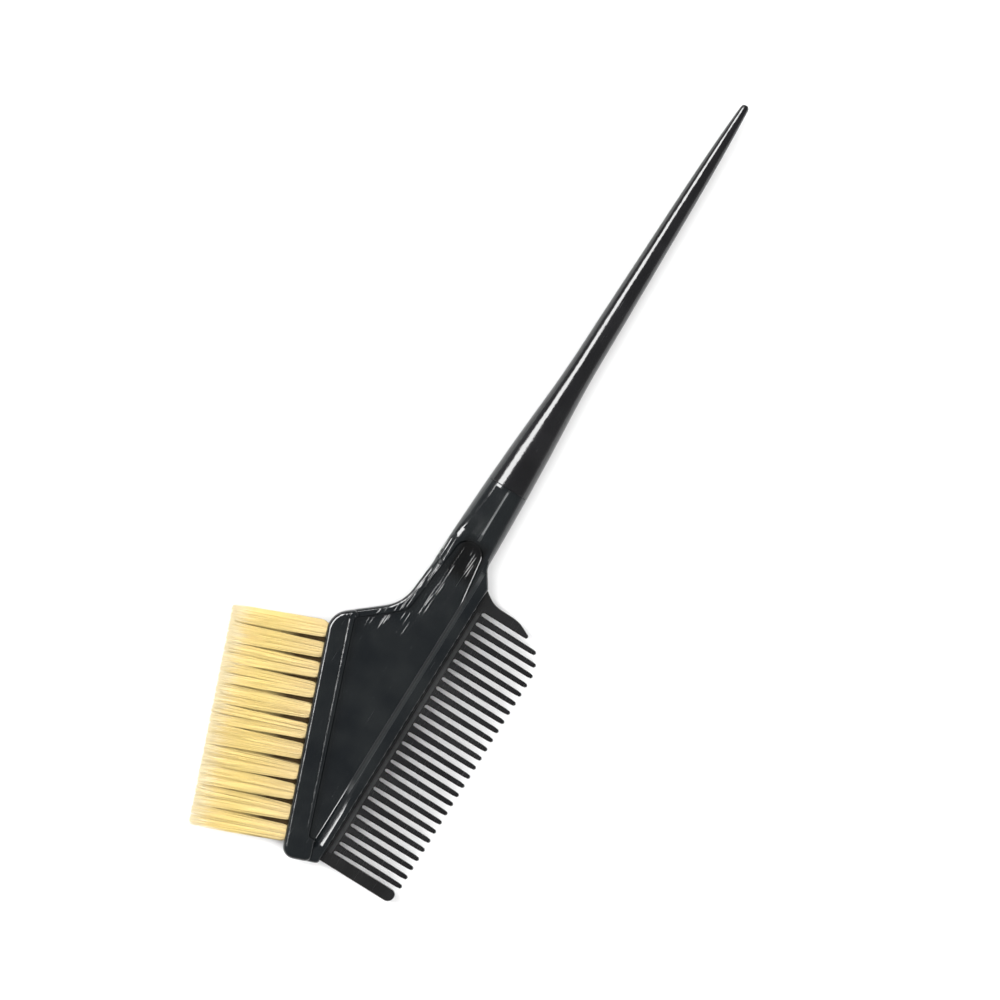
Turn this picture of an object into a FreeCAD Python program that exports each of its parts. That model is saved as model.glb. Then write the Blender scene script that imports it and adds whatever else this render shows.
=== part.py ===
"""Tint brush: a double-sided salon brush with a pointed tail, a row comb and two rows of bristle tufts.

Millimetres. The brush lies flat: +Z is up off the table, +Y runs along the tail to its tip, the comb is on
the +X side and the bristles are on the -X side. The model is drawn about the tail's axis, with y = 0 where
the tail meets the head, and is moved at the end so that the origin is the bottom centre of its box.

Pieces: the tail plugs into the head's neck, the comb's tongue sits in a groove along the head, and each tuft
is folded over a flat wire anchor at the bottom of its own blind hole.
"""

import FreeCAD, Part  # noqa: E401, I001
import math
import os

V = FreeCAD.Vector

# Head: a thick plate with a shallow tray in both faces
HALF_THICK = 4.5
FRAME_HALF = 3.4
WEB_HALF = 1.6
EDGE_ROUND = 1.3
FRAME_ROUND = 1.0
FRAME_LIP = 0.5
BAR_LIP = 0.5
NECK_LIP = 0.4
NECK_LIP_END = -18.6  # below this y the tray's lip on the neck isn't rounded
NECK_CUT_Y = -18.5
TRAY_FILLET = 0.7
RAIL_X = 6.2
RAIL_CREST_X = 8.7
RAIL_CREST_TILT = 12.0  # degrees
RAIL_SLOPE_R = 6.0
RAIL_SLOPE = [  # (y, lift of the crest above the frame)
    (-58.0, 0.90),
    (-84.0, 0.50),
    (-94.0, 0.15),
    (-104.0, 0.12),
    (-106.0, 1.20),
]
HEAD_RIGHT = 9.6
BAR_TILT = 20.5  # degrees between the bristle bar and the tail's axis
BAR_FOOT = (0.46, -111.90)  # the sharp corner at the bar's lower end, before rounding
BAR_SHOULDER = (-22.11, -51.53)  # the sharp corner at its upper end
BAR_WIDTH = 6.1

# Tail and neck: (distance from the joint, half width, half thickness, squareness)
TAIL_STATIONS = [
    (0.25, 5.76, 4.50, 2.0),
    (6.0, 5.44, 4.42, 2.0),
    (14.0, 4.98, 4.22, 2.0),
    (28.0, 4.00, 3.66, 2.0),
    (46.0, 3.35, 3.18, 2.0),
    (68.0, 2.84, 2.76, 2.0),
    (91.0, 2.28, 2.24, 2.0),
    (106.0, 1.72, 1.70, 2.0),
    (116.4, 1.12, 1.12, 2.0),
]
TAIL_POINT = [
    (116.4, 1.12, 1.12, 2.0),
    (116.9, 1.02, 1.02, 2.0),
    (117.25, 0.82, 0.82, 2.0),
    (117.45, 0.52, 0.52, 2.0),
    (117.5, 0.24, 0.24, 2.0),
]
NECK_STATIONS = [
    (0.0, 5.76, 4.50, 2.0),
    (8.0, 6.08, 4.50, 2.1),
    (16.0, 6.36, 4.50, 2.7),
    (22.0, 6.48, 4.46, 3.8),
    (28.0, 6.48, 4.20, 4.2),
    (33.0, 6.46, 3.40, 4.2),
    (38.0, 6.40, 2.40, 4.2),
]
SPIGOT_R = 2.6
SPIGOT_LENGTH = 9.0
SPIGOT_CLEARANCE = 0.02
FLAT_DEPTH = 0.2
FLAT_START = -13.6
FLAT_LENGTH = 21.0
FACET = [(-8.0, 3.14), (0.70, 4.39), (1.05, 4.53)]  # (x, z) across the facet on the neck's bristle side
FACET_START = -0.7
FACET_LENGTH = 13.9
FLANK = [(-8.0, 1.15), (-3.87, 4.37), (-3.57, 4.61)]  # the steeper facet below it, beside the tray
FLANK_START = -12.0
FLANK_LENGTH = 12.5
JOINT_BEVEL = 0.18
BORDER_LINE = [(5.08, 0.05), (5.13, -0.14), (5.55, 0.03)]  # (depth into the bar, height over its face)
BORDER_START = 9.0
BORDER_LENGTH = 55.0

# Comb
TEETH = 26
TOOTH_PITCH = 2.797
FIRST_TOOTH_Y = -32.5
TOOTH_ROOT_X = 12.0
TOOTH_TIP_X = 31.4
SHORT_TOOTH_TIPS = (28.9, 30.6)  # the first two teeth step back towards the guard
TOOTH_HALF_WIDTH = 0.93
COMB_HALF_THICK = 1.4
TONGUE_HALF_THICK = 1.0
TONGUE_DEPTH = 2.0
TONGUE_CLEARANCE = 0.02
COMB_TOP = -25.1
COMB_BOTTOM = -107.6
END_TOOTH_TOP = -104.2
END_TOOTH_TIP_X = 31.05
GUARD_TIP_X = 26.8  # where its two edges would meet, before rounding
GUARD_UNDERSIDE = -30.5
COMB_EDGE_ROUND = 0.4

# Bristle tufts and their anchors
FRONT_TUFTS = 11
BACK_TUFTS = 10
TUFT_PITCH = 5.386
FIRST_TUFT = 6.15  # from the bar's lower corner to the lowest front tuft
ROW_Z = 1.85
HOLE_R = 1.75
HOLE_DEPTH = 4.8
TUFT_CLEARANCE = 0.02
TUFT_LENGTH = 25.05
TUFT_STATIONS = [  # (distance out of the bar, half width along the bar, half thickness, squareness)
    (0.0, 1.84, 1.79, 2.0),
    (2.5, 2.08, 1.80, 2.1),
    (8.0, 2.32, 1.81, 2.4),
    (16.0, 2.58, 1.82, 3.0),
    (TUFT_LENGTH, 2.64, 1.82, 3.4),
]
ANCHOR_LENGTH = 4.1
ANCHOR_HEIGHT = 1.6
ANCHOR_THICK = 0.3
ANCHOR_ABOVE_FLOOR = 0.45

SECTION_POINTS = 32
OVERCUT = 1.0  # how far a cutting tool runs past the surface that it cuts

BAR_UP = V(-math.sin(math.radians(BAR_TILT)), math.cos(math.radians(BAR_TILT)), 0)
BAR_OUT = V(-math.cos(math.radians(BAR_TILT)), -math.sin(math.radians(BAR_TILT)), 0)


def section(half_u, half_v, squareness, distance):
    """A closed superellipse in the local XY plane at height distance: an ellipse where squareness is 2."""
    points = []
    for i in range(SECTION_POINTS):
        t = 2 * math.pi * i / SECTION_POINTS
        c, s = math.cos(t), math.sin(t)
        u = half_u * math.copysign(abs(c) ** (2 / squareness), c)
        v = half_v * math.copysign(abs(s) ** (2 / squareness), s)
        points.append(V(u, v, distance))
    curve = Part.BSplineCurve()
    curve.interpolate(points, PeriodicFlag=True)
    return Part.Wire(curve.toShape())


def loft(stations, straight=False):
    """A solid along local +Z through the sections of (distance, half_u, half_v, squareness)."""
    wires = [section(a, b, n, d) for d, a, b, n in stations]
    return Part.makeLoft(wires, True, straight)


def place(shape, origin, u, w):
    """shape turned so that its local X lies along u and its local Z along w, and moved to origin."""
    v = w.cross(u)
    matrix = FreeCAD.Matrix(
        u.x, v.x, w.x, origin.x,
        u.y, v.y, w.y, origin.y,
        u.z, v.z, w.z, origin.z,
        0, 0, 0, 1,
    )  # fmt: skip
    placed = shape.copy()
    placed.Placement = FreeCAD.Placement(matrix).multiply(shape.Placement)
    return placed


def rounded_outline(corners, z):
    """A closed wire at height z through (x, y, radius) corners, each rounded by a tangent arc."""
    starts, ends, arcs = [], [], []
    count = len(corners)
    for i, (x, y, radius) in enumerate(corners):
        here = V(x, y, z)
        before = V(*corners[i - 1][:2], z)
        after = V(*corners[(i + 1) % count][:2], z)
        back = (before - here).normalize()
        ahead = (after - here).normalize()
        half_angle = back.getAngle(ahead) / 2
        reach = radius / math.tan(half_angle)
        middle = here + (back + ahead).normalize() * (radius / math.sin(half_angle) - radius)
        starts.append(here + back * reach)
        ends.append(here + ahead * reach)
        arcs.append(Part.Arc(starts[-1], middle, ends[-1]))
    edges = []
    for i in range(count):
        edges.append(arcs[i].toShape())
        edges.append(Part.LineSegment(ends[i], starts[(i + 1) % count]).toShape())
    return Part.Wire(edges)


def slab(corners, half_thick):
    """A flat plate with the rounded outline, centred on z = 0."""
    face = Part.Face(rounded_outline(corners, -half_thick))
    return face.extrude(V(0, 0, 2 * half_thick))


def rim_edges(shape, half_thick):
    """The edges that lie wholly in the plate's two faces."""
    return [
        e for e in shape.Edges
        if abs(abs(e.BoundBox.ZMin) - half_thick) < 0.01 and e.BoundBox.ZLength < 0.01
    ]  # fmt: skip


def along_bar(station, depth=0.0):
    """A point of the bristle bar: station up from its foot, and depth in from its outer face."""
    return V(*BAR_FOOT, 0) + BAR_UP * station - BAR_OUT * depth


def frame_outline():
    """The head's plan: shoulder, bristle side, foot, and the straight side that holds the comb.

    It runs on up inside the neck, where NECK_CUT_Y ends it.
    """
    return [
        (-7.50, -39.45, 11.0),
        (*BAR_SHOULDER, 5.9),
        (*BAR_FOOT, 3.1),
        (HEAD_RIGHT, -108.5, 1.05),
        (HEAD_RIGHT, -24.9, 1.05),
        (6.75, -20.6, 3.0),
        (5.6, -17.0, 3.0),
        (5.6, -8.0, 1.2),
        (-6.0, -8.0, 1.2),
        (-6.0, -22.0, 3.0),
    ]


def bar_outline():
    """The bristle bar's plan, which shares the frame's shoulder and foot; the tray trims its inner side."""
    inner_foot = along_bar(0.0, BAR_WIDTH + 1.8)
    inner_top = along_bar(67.15, BAR_WIDTH + 1.8)
    return [
        (*BAR_SHOULDER, 5.9),
        (*BAR_FOOT, 3.1),
        (inner_foot.x, inner_foot.y, 1.8),
        (inner_top.x, inner_top.y, 1.8),
    ]


def tray_outline():
    """The tray's plan, which keeps a rim inside the shoulder and the neck, the bar, and a rail by the comb."""
    bar_foot = along_bar(6.5, BAR_WIDTH)
    return [
        (-3.3, -16.4, 3.55),
        (-5.3, -40.3, 6.0),
        (-16.0, -49.2, 1.5),
        (bar_foot.x, bar_foot.y, 0.85),
        (RAIL_X, bar_foot.y, 0.85),
        (RAIL_X, -33.0, 8.0),
        (3.9, -16.4, 3.55),
    ]


def tray_tools():
    """The two tools that sink the tray into the front and the back, down to the web."""
    face = Part.Face(rounded_outline(tray_outline(), WEB_HALF))
    front = face.extrude(V(0, 0, HALF_THICK + OVERCUT - WEB_HALF))
    floor = [e for e in front.Edges if abs(e.BoundBox.ZMax - WEB_HALF) < 0.01]
    return both_faces(front.makeFillet(TRAY_FILLET, floor))


def tuft_stations():
    """(name, station along the bar, z) of every tuft: the back row sits between the front row's tufts."""
    rows = [("front", FRONT_TUFTS, 0.0, ROW_Z), ("back", BACK_TUFTS, TUFT_PITCH / 2, -ROW_Z)]
    return [
        (f"{row}_{i + 1:02d}", FIRST_TUFT + shift + i * TUFT_PITCH, z)
        for row, count, shift, z in rows
        for i in range(count)
    ]


def on_bar(shape, station, z):
    """shape, drawn with its X up the bar and its Z out of the bar's face, placed at one tuft's position."""
    return place(shape, along_bar(station) + V(0, 0, z), BAR_UP, BAR_OUT)


def tuft_hole():
    """The blind hole of one tuft, as the cylinder to cut."""
    return Part.makeCylinder(HOLE_R, HOLE_DEPTH + OVERCUT, V(0, 0, -HOLE_DEPTH))


def anchor():
    """The flat wire that a tuft is folded over, lying along the bar with its two ends bitten into the wall."""
    strip = Part.makeBox(ANCHOR_LENGTH, ANCHOR_THICK, ANCHOR_HEIGHT)
    strip.translate(V(-ANCHOR_LENGTH / 2, -ANCHOR_THICK / 2, ANCHOR_ABOVE_FLOOR - HOLE_DEPTH))
    return strip


def tuft():
    """One bundle of filaments as a closed solid: a plug that fills its hole, and the part that stands out."""
    bottom = TUFT_CLEARANCE - HOLE_DEPTH
    plug = Part.makeCylinder(HOLE_R - TUFT_CLEARANCE, -bottom, V(0, 0, bottom))
    return plug.fuse(loft(TUFT_STATIONS)).cut(anchor())


def tail():
    """The tapering tail with its rounded point and the spigot that plugs into the neck."""
    length, half_width, half_thick, squareness = TAIL_STATIONS[0]
    narrow = (0.0, half_width - JOINT_BEVEL, half_thick - JOINT_BEVEL, squareness)
    bevel = loft([narrow, (length, half_width, half_thick, squareness)], straight=True)
    spike = loft(TAIL_STATIONS).fuse([bevel, loft(TAIL_POINT, straight=True)])
    spigot = Part.makeCylinder(SPIGOT_R, SPIGOT_LENGTH, V(0, 0, -SPIGOT_LENGTH))
    return place(spike.fuse(spigot), V(0, 0, 0), V(1, 0, 0), V(0, 1, 0))


def both_faces(tool):
    """A cutting tool for the front, and the same tool for the back."""
    return [tool, tool.mirror(V(0, 0, 0), V(0, 0, 1))]


def prism(points, run):
    """A solid from a closed polygon of points, drawn along the vector run."""
    return Part.Face(Part.makePolygon([*points, points[0]])).extrude(run)


def neck():
    """The oval neck, squaring off as it runs down into the head.

    Each face has a long facet and then a steeper one on the bristle side, and a shallow flat around the top of
    the tray.
    """
    body = place(loft(NECK_STATIONS), V(0, 0, 0), V(1, 0, 0), V(0, -1, 0))
    flat = Part.makeBox(4 * HALF_THICK, FLAT_LENGTH, OVERCUT)
    flat.translate(V(-2 * HALF_THICK, FLAT_START - FLAT_LENGTH, HALF_THICK - FLAT_DEPTH))
    cuts = both_faces(flat)
    top = HALF_THICK + OVERCUT
    for facet, start, length in ((FACET, FACET_START, FACET_LENGTH), (FLANK, FLANK_START, FLANK_LENGTH)):
        edge = [*facet, (facet[-1][0], top), (facet[0][0], top)]
        cuts += both_faces(prism([V(x, start, z) for x, z in edge], V(0, -length, 0)))
    return body.cut(cuts)


def border_lines():
    """The fine line along the bar's inner edge, as a shallow groove in each face."""
    corners = [along_bar(BORDER_START, depth) + V(0, 0, HALF_THICK + z) for depth, z in BORDER_LINE]
    return both_faces(prism(corners, BAR_UP * BORDER_LENGTH))


def rail_slope_section(y, lift):
    """A closed section across the rail: an arc that falls from the rail's crest towards the tray."""
    tilt = math.radians(RAIL_CREST_TILT)
    radius = RAIL_SLOPE_R
    centre = V(RAIL_CREST_X + radius * math.sin(tilt), y, FRAME_HALF + lift - radius * math.cos(tilt))
    foot_x = RAIL_X - 0.6

    def on_arc(x):
        return V(x, y, centre.z + math.sqrt(radius**2 - (x - centre.x) ** 2))

    foot, middle, crest = on_arc(foot_x), on_arc((foot_x + RAIL_CREST_X) / 2), on_arc(RAIL_CREST_X)
    top = FRAME_HALF + 3.0
    corners = [crest, V(RAIL_CREST_X, y, top), V(foot_x, y, top), foot]
    edges = [Part.Arc(foot, middle, crest).toShape()]
    edges += [Part.LineSegment(a, b).toShape() for a, b in zip(corners, corners[1:])]
    return Part.Wire(edges)


def rail_slopes():
    """The two tools that slope the lower end of the rail down to the tray, running out at both ends."""
    return both_faces(Part.makeLoft([rail_slope_section(*numbers) for numbers in RAIL_SLOPE], True, True))


def sunk(body, half_thick, lip_round, lip_end=-200.0):
    """body with the tray sunk into both faces, and the tray's lip rounded down to y = lip_end."""
    trayed = body.cut(tray_tools())
    outline = rounded_outline(tray_outline(), half_thick)
    lip = []
    for edge in rim_edges(trayed, half_thick):
        middle = edge.valueAt((edge.FirstParameter + edge.LastParameter) / 2)
        middle.z = half_thick
        if middle.y > lip_end and outline.distToShape(Part.Vertex(middle))[0] < 0.02:
            lip.append(edge)
    return trayed.makeFillet(lip_round, lip)


def head():
    """The head moulding: neck, trayed frame, bristle bar with its holes, and the groove for the comb."""
    frame = slab(frame_outline(), FRAME_HALF)
    frame = frame.makeFillet(FRAME_ROUND, rim_edges(frame, FRAME_HALF))
    frame = sunk(frame, FRAME_HALF, FRAME_LIP)
    above = Part.makeBox(20, 20, 4 * FRAME_HALF)
    above.translate(V(-10, NECK_CUT_Y, -2 * FRAME_HALF))
    frame = frame.cut([above, *rail_slopes()])

    bar = slab(bar_outline(), HALF_THICK)
    bar = bar.makeFillet(EDGE_ROUND, rim_edges(bar, HALF_THICK))
    bar = sunk(bar, HALF_THICK, BAR_LIP).cut(border_lines())
    body = frame.fuse([bar, sunk(neck(), HALF_THICK - FLAT_DEPTH, NECK_LIP, NECK_LIP_END)])

    groove_depth = TONGUE_DEPTH + TONGUE_CLEARANCE
    groove_half = TONGUE_HALF_THICK + TONGUE_CLEARANCE
    groove = Part.makeBox(groove_depth + OVERCUT, COMB_TOP - COMB_BOTTOM, 2 * groove_half)
    groove.translate(V(HEAD_RIGHT - groove_depth, COMB_BOTTOM, -groove_half))
    socket_r, socket_depth = SPIGOT_R + SPIGOT_CLEARANCE, SPIGOT_LENGTH + SPIGOT_CLEARANCE
    socket = Part.makeCylinder(socket_r, socket_depth, V(0, -socket_depth, 0), V(0, 1, 0))
    cuts = [groove, socket]
    for _, station, z in tuft_stations():
        cuts.append(on_bar(tuft_hole(), station, z))
        cuts.append(on_bar(anchor(), station, z))
    return body.cut(cuts)


def tooth_section(distance, half_width, half_thick, corner):
    """A rounded rectangle across a tooth, at that distance along it."""
    signs = [(1, 1), (-1, 1), (-1, -1), (1, -1)]
    return rounded_outline([(u * half_width, v * half_thick, corner) for u, v in signs], distance)


def tooth(index):
    """One fine tooth, thickest at its root and rounded at its tip."""
    tip_x = SHORT_TOOTH_TIPS[index] if index < len(SHORT_TOOTH_TIPS) else TOOTH_TIP_X
    length = tip_x - TOOTH_ROOT_X
    sections = [
        tooth_section(0.0, TOOTH_HALF_WIDTH, COMB_HALF_THICK, 0.45),
        tooth_section(0.16 * length, 0.84, 1.33, 0.45),
        tooth_section(0.5 * length, 0.75, 1.15, 0.45),
        tooth_section(0.93 * length, 0.66, 0.85, 0.42),
        tooth_section(length - 0.3, 0.53, 0.62, 0.34),
        tooth_section(length, 0.20, 0.28, 0.15),
    ]
    root = V(TOOTH_ROOT_X, FIRST_TOOTH_Y - index * TOOTH_PITCH, 0)
    return place(Part.makeLoft(sections, True, True), root, V(0, 1, 0), V(1, 0, 0))


def comb_teeth():
    return Part.makeCompound([tooth(i) for i in range(TEETH)])


def comb_spine():
    """The comb's back: tongue, strip with rounded gap bottoms, the tapered guard and the broad end tooth."""
    inside = HEAD_RIGHT - 2.0
    guard = [
        (inside, COMB_TOP + 1.4, 0.6),
        (13.0, -27.5, 7.0),
        (20.8, -27.65, 8.0),
        (GUARD_TIP_X, GUARD_UNDERSIDE, 0.55),
        (inside, GUARD_UNDERSIDE, 0.6),
    ]
    end_tooth = [
        (inside, END_TOOTH_TOP, 0.6),
        (END_TOOTH_TIP_X, END_TOOTH_TOP, 1.4),
        (END_TOOTH_TIP_X, COMB_BOTTOM, 1.9),
        (inside, COMB_BOTTOM, 0.6),
    ]
    inner_side = Part.makeBox(10, 120, 20)
    inner_side.translate(V(HEAD_RIGHT - 10, -120, -10))
    broad = []
    for outline in (guard, end_tooth):
        blade = slab(outline, COMB_HALF_THICK)
        blade = blade.makeFillet(COMB_EDGE_ROUND, rim_edges(blade, COMB_HALF_THICK))
        broad.append(blade.cut(inner_side))

    width, height = TOOTH_ROOT_X - HEAD_RIGHT, GUARD_UNDERSIDE - END_TOOTH_TOP + 2.0
    strip = Part.makeBox(width, height, 2 * COMB_HALF_THICK)
    strip.translate(V(HEAD_RIGHT, END_TOOTH_TOP - 1.0, -COMB_HALF_THICK))
    gap_r = TOOTH_PITCH / 2 - TOOTH_HALF_WIDTH
    notches = []
    for i in range(TEETH + 1):
        y = FIRST_TOOTH_Y + (0.5 - i) * TOOTH_PITCH
        notches.append(Part.makeCylinder(gap_r, 2 * HALF_THICK, V(TOOTH_ROOT_X, y, -HALF_THICK)))
    tongue = Part.makeBox(TONGUE_DEPTH, COMB_TOP - COMB_BOTTOM, 2 * TONGUE_HALF_THICK)
    tongue.translate(V(HEAD_RIGHT - TONGUE_DEPTH, COMB_BOTTOM, -TONGUE_HALF_THICK))
    return strip.cut(notches).fuse([*broad, tongue]).removeSplitter()


def build():
    """Every node's shape, about the tail's axis."""
    nodes = {"tail": tail(), "head": head(), "comb_spine": comb_spine(), "comb_teeth": comb_teeth()}
    bundle = tuft()
    for name, station, z in tuft_stations():
        nodes["tuft_" + name] = on_bar(bundle, station, z)
        nodes["anchor_" + name] = on_bar(anchor(), station, z)
    return nodes


def main():
    os.makedirs("parts", exist_ok=True)
    nodes = build()
    box = Part.makeCompound(list(nodes.values())).optimalBoundingBox(False)
    to_origin = V(-round(box.Center.x, 2), -round(box.Center.y, 2), HALF_THICK)
    print("moved by", to_origin, "box", box.XLength, box.YLength, box.ZLength)
    for name, shape in nodes.items():
        shape.translate(to_origin)
        shape.exportStep(f"parts/{name}.step")


main()
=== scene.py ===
"""Tint brush, seen from straight above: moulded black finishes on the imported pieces, and nylon filaments.

Metres, in the CAD frame: +Y along the tail to its tip, +X the comb side, +Z up off the table.
"""

import math

import bpy
import numpy as np
from mathutils import Matrix


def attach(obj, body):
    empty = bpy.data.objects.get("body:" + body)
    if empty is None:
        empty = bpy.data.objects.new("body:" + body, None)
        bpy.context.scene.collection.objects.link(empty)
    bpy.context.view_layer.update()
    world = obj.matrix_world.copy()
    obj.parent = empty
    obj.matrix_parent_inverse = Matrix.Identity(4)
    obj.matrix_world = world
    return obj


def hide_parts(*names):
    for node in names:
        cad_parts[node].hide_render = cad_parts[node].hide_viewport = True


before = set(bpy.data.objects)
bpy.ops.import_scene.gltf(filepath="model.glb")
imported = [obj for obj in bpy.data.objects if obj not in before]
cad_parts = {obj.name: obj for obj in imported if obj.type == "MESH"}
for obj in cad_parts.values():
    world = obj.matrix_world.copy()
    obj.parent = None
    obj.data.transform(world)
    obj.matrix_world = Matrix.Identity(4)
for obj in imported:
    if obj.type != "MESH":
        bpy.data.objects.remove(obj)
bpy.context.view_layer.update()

MM = 0.001
rng = np.random.default_rng(2611)

# The bristle bar, as in the CAD, in millimetres
ORIGIN = np.array([6.77, -0.06, 4.5])
BAR_TILT = math.radians(20.5)
BAR_FOOT = np.array([0.46, -111.90, 0.0]) + ORIGIN
BAR_UP = np.array([-math.sin(BAR_TILT), math.cos(BAR_TILT), 0.0])
BAR_OUT = np.array([-math.cos(BAR_TILT), -math.sin(BAR_TILT), 0.0])
THROUGH = np.array([0.0, 0.0, 1.0])
TUFT_PITCH = 5.386
FIRST_TUFT = 6.15
ROW_Z = 1.85
ROOT_R = 1.65
TIP_HALF = (2.68, 1.80)  # along the bar, and through it
ROOT_DEPTH = 1.2  # how far inside its hole a filament starts
TUFT_LENGTH = 25.3
FILAMENT_R = 0.105
FILAMENTS = 300
RINGS = np.array([0.0, 0.045, 0.058, 0.074, 0.11, 0.20, 0.36, 0.58, 0.80, 1.0])
SIDES = 5

# Places on the plastic, in millimetres
TRAY_EDGE = 13.0  # x of the tray's straight edge along the rail
# TRAY_TOP also marks where painted shade darkens the tray
TRAY_TOP = ((4.8, 10.6), (-25.0, -17.5))  # the round upper end of the tray, as x and y ranges
NECK_SIDE = 5.0  # x where the neck's bristle side starts

# Satin patches, each (x range, y range, fade along x and y, extra roughness)
HEAD_SATIN = [
    ((12.35, 13.6), (-85.0, -26.0), (0.1, 5.0), 0.88),  # the tray's edge on the rail
    ((7.3, 7.9), (-15.0, 1.0), (0.2, 1.0), 0.30),  # the edge of the neck's facet
]
COMB_SATIN = [((17.1, 17.9), (-104.0, -32.0), (0.2, 1.0), 0.20)]  # the strip beside the teeth's roots

# Lights, all facing the brush from the same distance in metres
LIGHT_DISTANCE = 2.4
FLOOR_HALF = 4.0

# Camera: straight above, turned so that the tail points up and to the right
VIEW_CENTRE = (6.62 * MM, -3.48 * MM, 4.5 * MM)
VIEW_TURN = math.radians(31.92)
VIEW_WIDTH = 0.260
CAMERA_HEIGHT = 1.3
SENSOR = 36.0


# ---------------------------------------------------------------- materials

class Nodes:
    """A short way to write a node tree."""

    def __init__(self, material):
        material.use_nodes = True
        self.tree = material.node_tree
        self.tree.nodes.clear()
        self.output = self.add("ShaderNodeOutputMaterial")

    def add(self, kind, settings=None, **sockets):
        node = self.tree.nodes.new(kind)
        for name, value in (settings or {}).items():
            setattr(node, name, value)
        for name, value in sockets.items():
            self.put(node, name.replace("_", " "), value)
        return node

    def put(self, node, socket, value):
        if isinstance(value, bpy.types.NodeSocket):
            self.tree.links.new(value, node.inputs[socket])
        else:
            node.inputs[socket].default_value = value

    def position(self, scale):
        """Object position in millimetres, stretched by scale along each axis."""
        coordinates = self.add("ShaderNodeTexCoord")
        mapping = self.add("ShaderNodeMapping")
        self.put(mapping, "Vector", coordinates.outputs["Object"])
        self.put(mapping, "Scale", [1000 * s for s in scale])
        return mapping.outputs["Vector"]

    def noise(self, vector, scale, detail=3.0, roughness=0.5):
        node = self.add("ShaderNodeTexNoise", Vector=vector, Scale=scale, Detail=detail, Roughness=roughness)
        return node.outputs["Fac"]

    def remap(self, value, low, high, to_low, to_high):
        node = self.add("ShaderNodeMapRange")
        for name, number in (("From Min", low), ("From Max", high), ("To Min", to_low), ("To Max", to_high)):
            self.put(node, name, number)
        self.put(node, "Value", value)
        return node.outputs["Result"]

    def band(self, value, low, high, soft):
        """1 where value lies between low and high, fading to 0 over soft outside them."""
        rise = self.remap(value, low - soft, low, 0.0, 1.0)
        return self.math("MULTIPLY", rise, self.remap(value, high, high + soft, 1.0, 0.0))

    def patch(self, place, x, y, soft):
        """1 inside a rectangle, with x and y each (low, high) in millimetres."""
        across = self.band(place.outputs["X"], *x, soft[0])
        return self.math("MULTIPLY", across, self.band(place.outputs["Y"], *y, soft[1]))

    def ramp(self, value, stops):
        node = self.add("ShaderNodeValToRGB", Fac=value)
        elements = node.color_ramp.elements
        for i, (place, colour) in enumerate(stops):
            element = elements[i] if i < 2 else elements.new(place)
            element.position = place
            element.color = (*colour, 1.0)
        return node.outputs["Color"]

    def math(self, operation, a, b=0.0):
        node = self.add("ShaderNodeMath", {"operation": operation})
        for i, value in enumerate((a, b)):
            if isinstance(value, bpy.types.NodeSocket):
                self.tree.links.new(value, node.inputs[i])
            else:
                node.inputs[i].default_value = value
        return node.outputs["Value"]

    def bump(self, height, strength, distance, normal=None):
        node = self.add("ShaderNodeBump", Height=height, Strength=strength, Distance=distance)
        if normal is not None:
            self.put(node, "Normal", normal)
        return node.outputs["Normal"]

    def surface(self, shader):
        self.tree.links.new(shader.outputs[0], self.output.inputs["Surface"])


def black_plastic(name, dark, light, rough, ripple, patches=(), is_head=False):
    """Glossy moulded black plastic: slow ripples, faint scuffs along the tail, and satin patches.

    The head also has painted shade, a much darker black at the top of its tray, and its own slopes and flow
    marks.
    """
    material = bpy.data.materials.new(name)
    n = Nodes(material)
    even = n.position((1, 1, 1))
    cloud = n.noise(even, 0.10, 2.0)
    colour = n.ramp(cloud, [(0.35, dark), (0.65, light)])

    streak = n.noise(n.position((1, 0.05, 1)), 2.2, 4.0, 0.6)
    scuff = n.remap(streak, 0.58, 0.74, 0.0, 0.16)
    handled = n.remap(cloud, 0.35, 0.70, rough, rough + 0.05)
    roughness = n.math("ADD", handled, scuff)
    place = n.add("ShaderNodeSeparateXYZ", Vector=even)
    roughness = n.math("ADD", roughness, satin(n, place, patches))

    normal = n.bump(n.noise(even, 0.22, 2.0), ripple, 0.12 * MM)
    normal = n.bump(streak, 0.25, 0.008 * MM, normal)
    if is_head:
        # painted shade: the colour at the round top of the tray is scaled down to a tenth
        painted_tray_shade = n.patch(place, *TRAY_TOP, (1.0, 3.0))
        painted_shade_colour = n.add("ShaderNodeVectorMath", {"operation": "SCALE"})
        n.put(painted_shade_colour, 0, colour)
        n.put(painted_shade_colour, "Scale", n.remap(painted_tray_shade, 0.0, 1.0, 1.0, 0.1))
        colour = painted_shade_colour.outputs["Vector"]
        normal = n.bump(slopes(n, place), 1.0, 0.20 * MM, normal)
        normal = n.bump(flow_marks(n, place), 0.9, 0.16 * MM, normal)

    shader = n.add("ShaderNodeBsdfPrincipled", Base_Color=colour, Roughness=roughness, Normal=normal)
    shader.inputs["IOR"].default_value = 1.56
    n.surface(shader)
    return material


def satin(n, place, patches):
    """Extra roughness in rectangles, each (x range, y range, fade, amount)."""
    total = 0.0
    for x, y, soft, amount in patches:
        total = n.math("ADD", n.math("MULTIPLY", n.patch(place, x, y, soft), amount), total)
    return total


def slopes(n, place):
    """Heights that make the surface flatter beside the tray's top and steeper at the rail's lower end."""
    neck = n.band(place.outputs["Y"], -22.0, -14.5, 4.0)
    outwards = n.math("MAXIMUM", n.math("SUBTRACT", NECK_SIDE, place.outputs["X"]), 0.0)
    rail = n.band(place.outputs["Y"], -112.0, -88.0, 4.0)
    inwards = n.math("MAXIMUM", n.math("SUBTRACT", place.outputs["X"], TRAY_EDGE), 0.0)
    raised = n.math("MULTIPLY", n.math("MULTIPLY", rail, inwards), 0.3)
    return n.math("ADD", n.math("MULTIPLY", outwards, neck), raised)


def turned(n, degrees):
    """Object position in millimetres, turned about the upright axis."""
    node = n.add("ShaderNodeMapping", {"vector_type": "POINT"}, Vector=n.position((1, 1, 1)))
    n.put(node, "Rotation", (0.0, 0.0, math.radians(degrees)))
    return node.outputs["Vector"]


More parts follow.
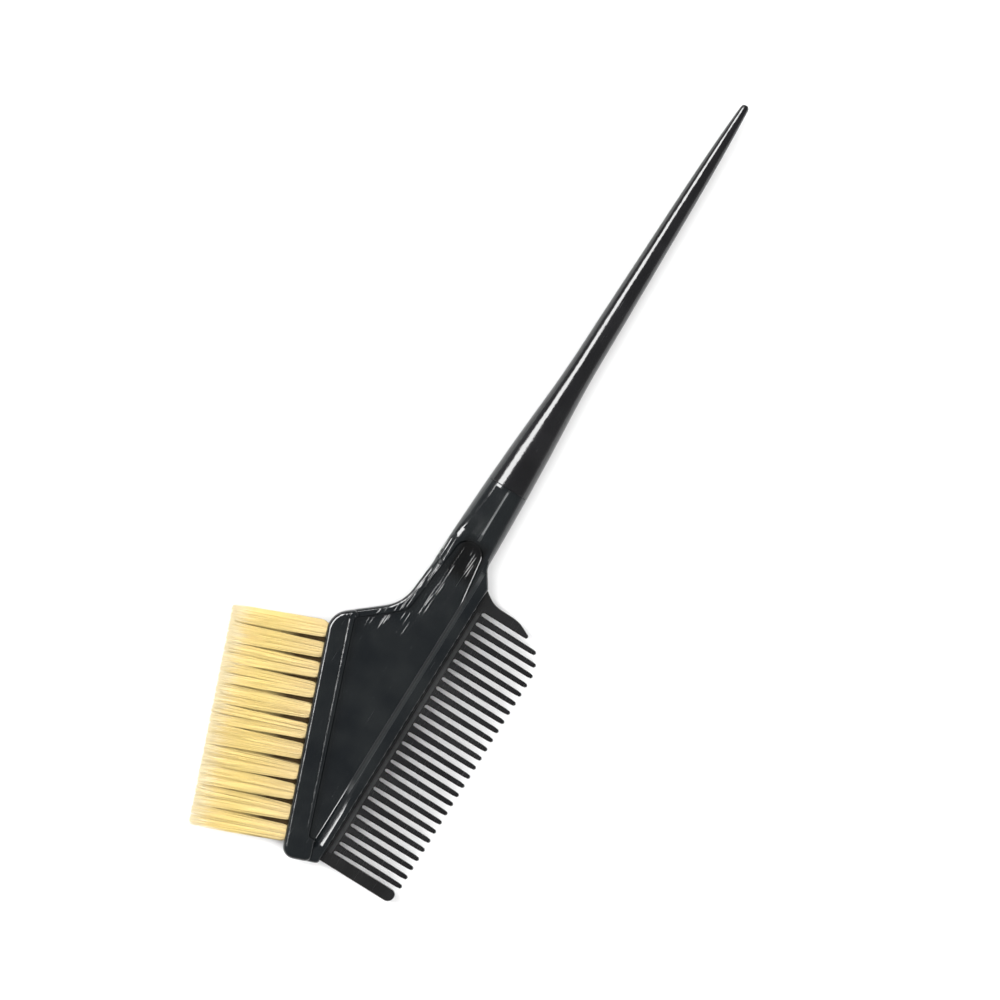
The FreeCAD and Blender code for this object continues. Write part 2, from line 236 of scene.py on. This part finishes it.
def flow_marks(n, place):
    """Thin broken ridges, nearly parallel to the tail, where the melt ran down the slope of the shoulder.

    They are strongest beside the shoulder's rim and fade out towards the comb, the neck and the bar.
    """
    stretched = n.add("ShaderNodeMapping", Vector=turned(n, 3.0), Scale=(1.0, 0.07, 0.3))
    lines = n.remap(n.noise(stretched.outputs["Vector"], 1.0, 2.0), 0.54, 0.66, 0.0, 1.0)
    from_rim = n.add("ShaderNodeSeparateXYZ", Vector=turned(n, 20.0))
    inwards = n.remap(from_rim.outputs["X"], 13.0, 21.0, 1.0, 0.0)
    beside = n.band(place.outputs["Y"], -44.0, -24.0, 8.0)
    return n.math("MULTIPLY", lines, n.math("MULTIPLY", inwards, beside))


def bristle_nylon(name):
    """Pale yellow nylon: each filament has its own tone and a cream tip, with painted shade darkening the
    roots deep inside the brush.
    """
    material = bpy.data.materials.new(name)
    n = Nodes(material)
    along = n.add("ShaderNodeAttribute", {"attribute_name": "along"}).outputs["Fac"]
    depth = n.add("ShaderNodeAttribute", {"attribute_name": "depth"}).outputs["Fac"]
    own = n.add("ShaderNodeAttribute", {"attribute_name": "own_tone"}).outputs["Fac"]
    speck = n.noise(n.position((1, 1, 1)), 1.2, 3.0, 0.6)

    place = n.math("ADD", along, n.math("MULTIPLY", n.math("SUBTRACT", own, 0.5), 0.16))
    tones = [
        (0.0, (0.71, 0.56, 0.29)),
        (0.16, (0.74, 0.58, 0.27)),
        (0.60, (0.79, 0.625, 0.235)),
        (0.84, (0.85, 0.675, 0.29)),
        (0.95, (0.87, 0.76, 0.50)),
    ]
    body = n.ramp(place, tones)
    # painted shade: filaments deep between the brush's two faces and near their roots turn dark brown
    painted_root_shade = n.math("MULTIPLY", n.remap(depth, 0.42, 0.72, 0.0, 1.0), n.remap(along, 0.30, 0.53, 1.0, 0.0))
    shaded = n.add("ShaderNodeMix", {"data_type": "RGBA", "blend_type": "MIX"})
    n.tree.links.new(painted_root_shade, shaded.inputs[0])
    n.tree.links.new(body, shaded.inputs[6])
    shaded.inputs[7].default_value = (0.09, 0.055, 0.02, 1.0)
    tint = n.remap(own, 0.0, 1.0, 0.94, 1.02)
    shade = n.math("MULTIPLY", tint, n.remap(speck, 0.3, 0.7, 0.97, 1.02))
    colour = n.add("ShaderNodeVectorMath", {"operation": "SCALE"})
    n.tree.links.new(shaded.outputs[2], colour.inputs[0])
    n.tree.links.new(shade, colour.inputs["Scale"])

    ripple = n.bump(speck, 0.2, 0.02 * MM)
    shader = n.add("ShaderNodeBsdfPrincipled", Base_Color=colour.outputs["Vector"], Normal=ripple)
    n.put(shader, "Roughness", n.remap(speck, 0.3, 0.7, 0.38, 0.5))
    shader.inputs["IOR"].default_value = 1.45
    shader.inputs["Specular IOR Level"].default_value = 0.35
    n.surface(shader)
    return material


def drawn_wire(name):
    """Flat drawn wire with fine lines along it."""
    material = bpy.data.materials.new(name)
    n = Nodes(material)
    lines = n.noise(n.position((4, 0.3, 4)), 2.0, 4.0)
    colour = n.ramp(lines, [(0.3, (0.50, 0.50, 0.48)), (0.7, (0.70, 0.70, 0.68))])
    shader = n.add("ShaderNodeBsdfPrincipled", Base_Color=colour, Normal=n.bump(lines, 0.2, 0.01 * MM))
    n.put(shader, "Roughness", n.remap(lines, 0.3, 0.7, 0.25, 0.4))
    shader.inputs["Metallic"].default_value = 1.0
    n.surface(shader)
    return material


def finish_node(node, material):
    """Gives a CAD node its finish in every slot."""
    for slot in node.material_slots:
        slot.material = material


# ---------------------------------------------------------------- bristles

def squared(angle, power):
    """Points on a unit superellipse."""
    c, s = np.cos(angle), np.sin(angle)
    return np.sign(c) * np.abs(c) ** (2 / power), np.sign(s) * np.abs(s) ** (2 / power)


def filament_lines(count, last):
    """The centre lines of one tuft's filaments, as (count, rings, 3) of (along the bar, through, out).

    The last tuft, at the bar's upper end, swells just outside its hole and fans out less on its free side.
    """
    share = np.sqrt(rng.uniform(0.0, 1.0, count))
    angle = rng.uniform(0.0, 2 * math.pi, count)
    root_u, root_w = ROOT_R * share * np.cos(angle), ROOT_R * share * np.sin(angle)
    unit_u, unit_w = squared(angle, 3.2)
    tip_u = TIP_HALF[0] * share ** 0.9 * unit_u + rng.normal(0.0, 0.14, count)
    tip_w = TIP_HALF[1] * share ** 0.9 * unit_w + rng.normal(0.0, 0.10, count)
    length = TUFT_LENGTH - np.abs(rng.normal(0.0, 0.55, count))
    wander = rng.normal(0.0, 0.14, (count, 2))
    phase = rng.uniform(0.0, math.pi, count)

    t = RINGS[None, :]
    mouth = np.clip((t - 0.038) / 0.05, 0.0, 1.0)
    spread = 0.38 * mouth * (2 - mouth) + 0.62 * t
    sway = np.sin(math.pi * t + phase[:, None] * t) * t
    if last:
        tip_u = np.where(tip_u > 0, 0.55 * tip_u, tip_u)
    swell = 0.55 * mouth * (1 - t) * np.maximum(root_u, 0.0)[:, None] * last
    u = root_u[:, None] + (tip_u - root_u)[:, None] * spread + wander[:, :1] * sway + swell
    w = root_w[:, None] + (tip_w - root_w)[:, None] * spread + wander[:, 1:] * sway
    w = np.clip(w, -TIP_HALF[1], TIP_HALF[1])
    out = (length + ROOT_DEPTH)[:, None] * t - ROOT_DEPTH
    return np.stack([u, w, out], axis=2)


def tuft_mesh(name, station, z_row, last):
    """One tuft as a mesh of fine tapered tubes.

    Its points keep how far along they are, how deep between the two faces, and their filament's own tone.
    """
    lines = filament_lines(FILAMENTS, last)
    count, rings = len(lines), len(RINGS)
    mouth = BAR_FOOT + BAR_UP * station + THROUGH * z_row
    centre = mouth + lines @ np.stack([BAR_UP, THROUGH, BAR_OUT])

    size = rng.uniform(0.85, 1.12, count)
    radius = FILAMENT_R * size[:, None] * (1.0 - 0.25 * RINGS - 0.35 * RINGS ** 6)
    turn = np.arange(SIDES) * 2 * math.pi / SIDES
    ring = np.cos(turn)[:, None] * BAR_UP + np.sin(turn)[:, None] * THROUGH
    points = centre[:, :, None, :] + radius[:, :, None, None] * ring
    points = points.reshape(-1, 3) * MM

    step = np.arange(SIDES)
    after = (step + 1) % SIDES
    quads = []
    for r in range(rings - 1):
        low, high = r * SIDES, (r + 1) * SIDES
        quads.append(np.stack([low + step, high + step, high + after, low + after], axis=1))
    quads = np.concatenate(quads)
    first = np.arange(count) * rings * SIDES
    quads = (first[:, None, None] + quads[None]).reshape(-1, 4)
    tips = first[:, None] + (rings - 1) * SIDES + step[::-1][None, :]
    roots = first[:, None] + step[None, :]

    mesh = bpy.data.meshes.new(name)
    faces = [*quads.tolist(), *tips.tolist(), *roots.tolist()]
    mesh.from_pydata(points.tolist(), [], faces)
    mesh.polygons.foreach_set("use_smooth", [len(f) == 4 for f in faces])
    shape = (count, rings, SIDES)
    depth = 1.0 - np.abs(lines[:, :, 1] + z_row) / (ROW_Z + TIP_HALF[1])
    attributes = {
        "along": np.broadcast_to(RINGS[None, :, None], shape),
        "depth": np.broadcast_to(depth[:, :, None], shape),
        "own_tone": np.broadcast_to(rng.uniform(0.0, 1.0, count)[:, None, None], shape),
    }
    for attribute, values in attributes.items():
        layer = mesh.attributes.new(attribute, "FLOAT", "POINT")
        layer.data.foreach_set("value", values.ravel().astype(np.float32))
    mesh.update()
    return mesh


def add_tufts(material):
    rows = [("front", 11, 0.0, ROW_Z), ("back", 10, TUFT_PITCH / 2, -ROW_Z)]
    for row, count, shift, z_row in rows:
        for i in range(count):
            name = f"{row}_{i + 1:02d}"
            station = FIRST_TUFT + shift + i * TUFT_PITCH
            mesh = tuft_mesh("bristles_" + name, station, z_row, name == "front_11")
            mesh.materials.append(material)
            piece = bpy.data.objects.new("bristles_" + name, mesh)
            bpy.context.scene.collection.objects.link(piece)
            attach(piece, "root")
            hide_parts("tuft_" + name)


# ---------------------------------------------------------------- studio

def add_floor():
    material = bpy.data.materials.new("studio_floor")
    n = Nodes(material)
    grain = n.noise(n.position((1, 1, 1)), 0.05, 2.0)
    colour = n.ramp(grain, [(0.3, (0.905, 0.905, 0.905)), (0.7, (0.915, 0.915, 0.915))])
    n.surface(n.add("ShaderNodeBsdfPrincipled", Base_Color=colour, Roughness=0.9))
    corners = [(FLOOR_HALF * u, FLOOR_HALF * v, 0.0) for u, v in ((-1, -1), (1, -1), (1, 1), (-1, 1))]
    mesh = bpy.data.meshes.new("studio_floor")
    mesh.from_pydata(corners, [], [(0, 1, 2, 3)])
    mesh.materials.append(material)
    floor = bpy.data.objects.new("studio_floor", mesh)
    bpy.context.scene.collection.objects.link(floor)


def add_light(name, toward, size, power):
    """A softbox in direction toward, facing the brush; size is (across, along the tail)."""
    light = bpy.data.lights.new(name, "AREA")
    light.shape = "RECTANGLE"
    light.size, light.size_y = size
    light.energy = power
    lamp = bpy.data.objects.new(name, light)
    bpy.context.scene.collection.objects.link(lamp)
    length = math.sqrt(sum(c * c for c in toward))
    back = np.array(toward) / length
    lamp.location = np.array(VIEW_CENTRE) + back * LIGHT_DISTANCE
    side = np.cross([0.0, 1.0, 0.0], back)
    side /= np.linalg.norm(side)
    up = np.cross(back, side)
    lamp.rotation_mode = "QUATERNION"
    lamp.rotation_quaternion = Matrix(np.stack([side, up, back], axis=1).tolist()).to_quaternion()
    return lamp


def add_sky(bands):
    """A studio dome of grey bands, each (height of the direction, brightness)."""
    world = bpy.data.worlds.new("studio")
    world.use_nodes = True
    tree = world.node_tree
    tree.nodes.clear()
    where = tree.nodes.new("ShaderNodeTexCoord")
    split = tree.nodes.new("ShaderNodeSeparateXYZ")
    ramp = tree.nodes.new("ShaderNodeValToRGB")
    background = tree.nodes.new("ShaderNodeBackground")
    output = tree.nodes.new("ShaderNodeOutputWorld")
    tree.links.new(where.outputs["Generated"], split.inputs[0])
    tree.links.new(split.outputs["Z"], ramp.inputs["Fac"])
    tree.links.new(ramp.outputs["Color"], background.inputs["Color"])
    tree.links.new(background.outputs[0], output.inputs["Surface"])
    elements = ramp.color_ramp.elements
    for i, (height, grey) in enumerate(bands):
        element = elements[i] if i < 2 else elements.new(height)
        element.position = height
        element.color = (grey, grey, grey, 1.0)
    bpy.context.scene.world = world


def add_camera():
    camera = bpy.data.cameras.new("camera")
    camera.sensor_width = SENSOR
    camera.lens = SENSOR * CAMERA_HEIGHT / VIEW_WIDTH
    camera.clip_start, camera.clip_end = 0.05, 20.0
    eye = bpy.data.objects.new("camera", camera)
    bpy.context.scene.collection.objects.link(eye)
    x, y, z = VIEW_CENTRE
    eye.location = (x, y, z + CAMERA_HEIGHT)
    eye.rotation_euler = (0.0, 0.0, VIEW_TURN)
    bpy.context.scene.camera = eye


def finish_plastic_and_wire():
    """Finishes for the CAD pieces: (dark tone, light tone, roughness, ripple) for each plastic."""
    comb_tones = (0.0050, 0.0050, 0.0052), (0.0090, 0.0090, 0.0094)
    tail_tones = (0.0050, 0.0050, 0.0058), (0.0085, 0.0085, 0.0096)
    head_tones = (0.0035, 0.0052, 0.0068), (0.0080, 0.0100, 0.0110)
    finishes = {
        "tail": black_plastic("tail_black", *tail_tones, 0.12, 0.35),
        "head": black_plastic("head_black", *head_tones, 0.11, 0.55, HEAD_SATIN, True),
        "comb_spine": black_plastic("comb_black", *comb_tones, 0.20, 0.35, COMB_SATIN),
        "comb_teeth": black_plastic("teeth_black", *comb_tones, 0.22, 0.30),
    }
    wire = drawn_wire("anchor_steel")
    for name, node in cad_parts.items():
        if name.startswith("anchor_"):
            finish_node(node, wire)
        elif name in finishes:
            finish_node(node, finishes[name])


finish_plastic_and_wire()
add_tufts(bristle_nylon("bristle_nylon"))
add_floor()
add_sky([(0.05, 0.85), (0.25, 0.30), (1.0, 0.22)])
glint = add_light("glint", (-0.64, 0.10, 0.77), (1.1, 2.0), 120.0)
glint.visible_diffuse = False
key = add_light("key", (-0.64, 0.0, 0.77), (1.45, 1.15), 25.0)
key.visible_glossy = False
fill = add_light("fill", (0.05, 0.0, 1.0), (4.0, 1.2), 88.0)
fill.visible_glossy = False
add_camera()
bpy.context.scene.view_settings.view_transform = "Standard"
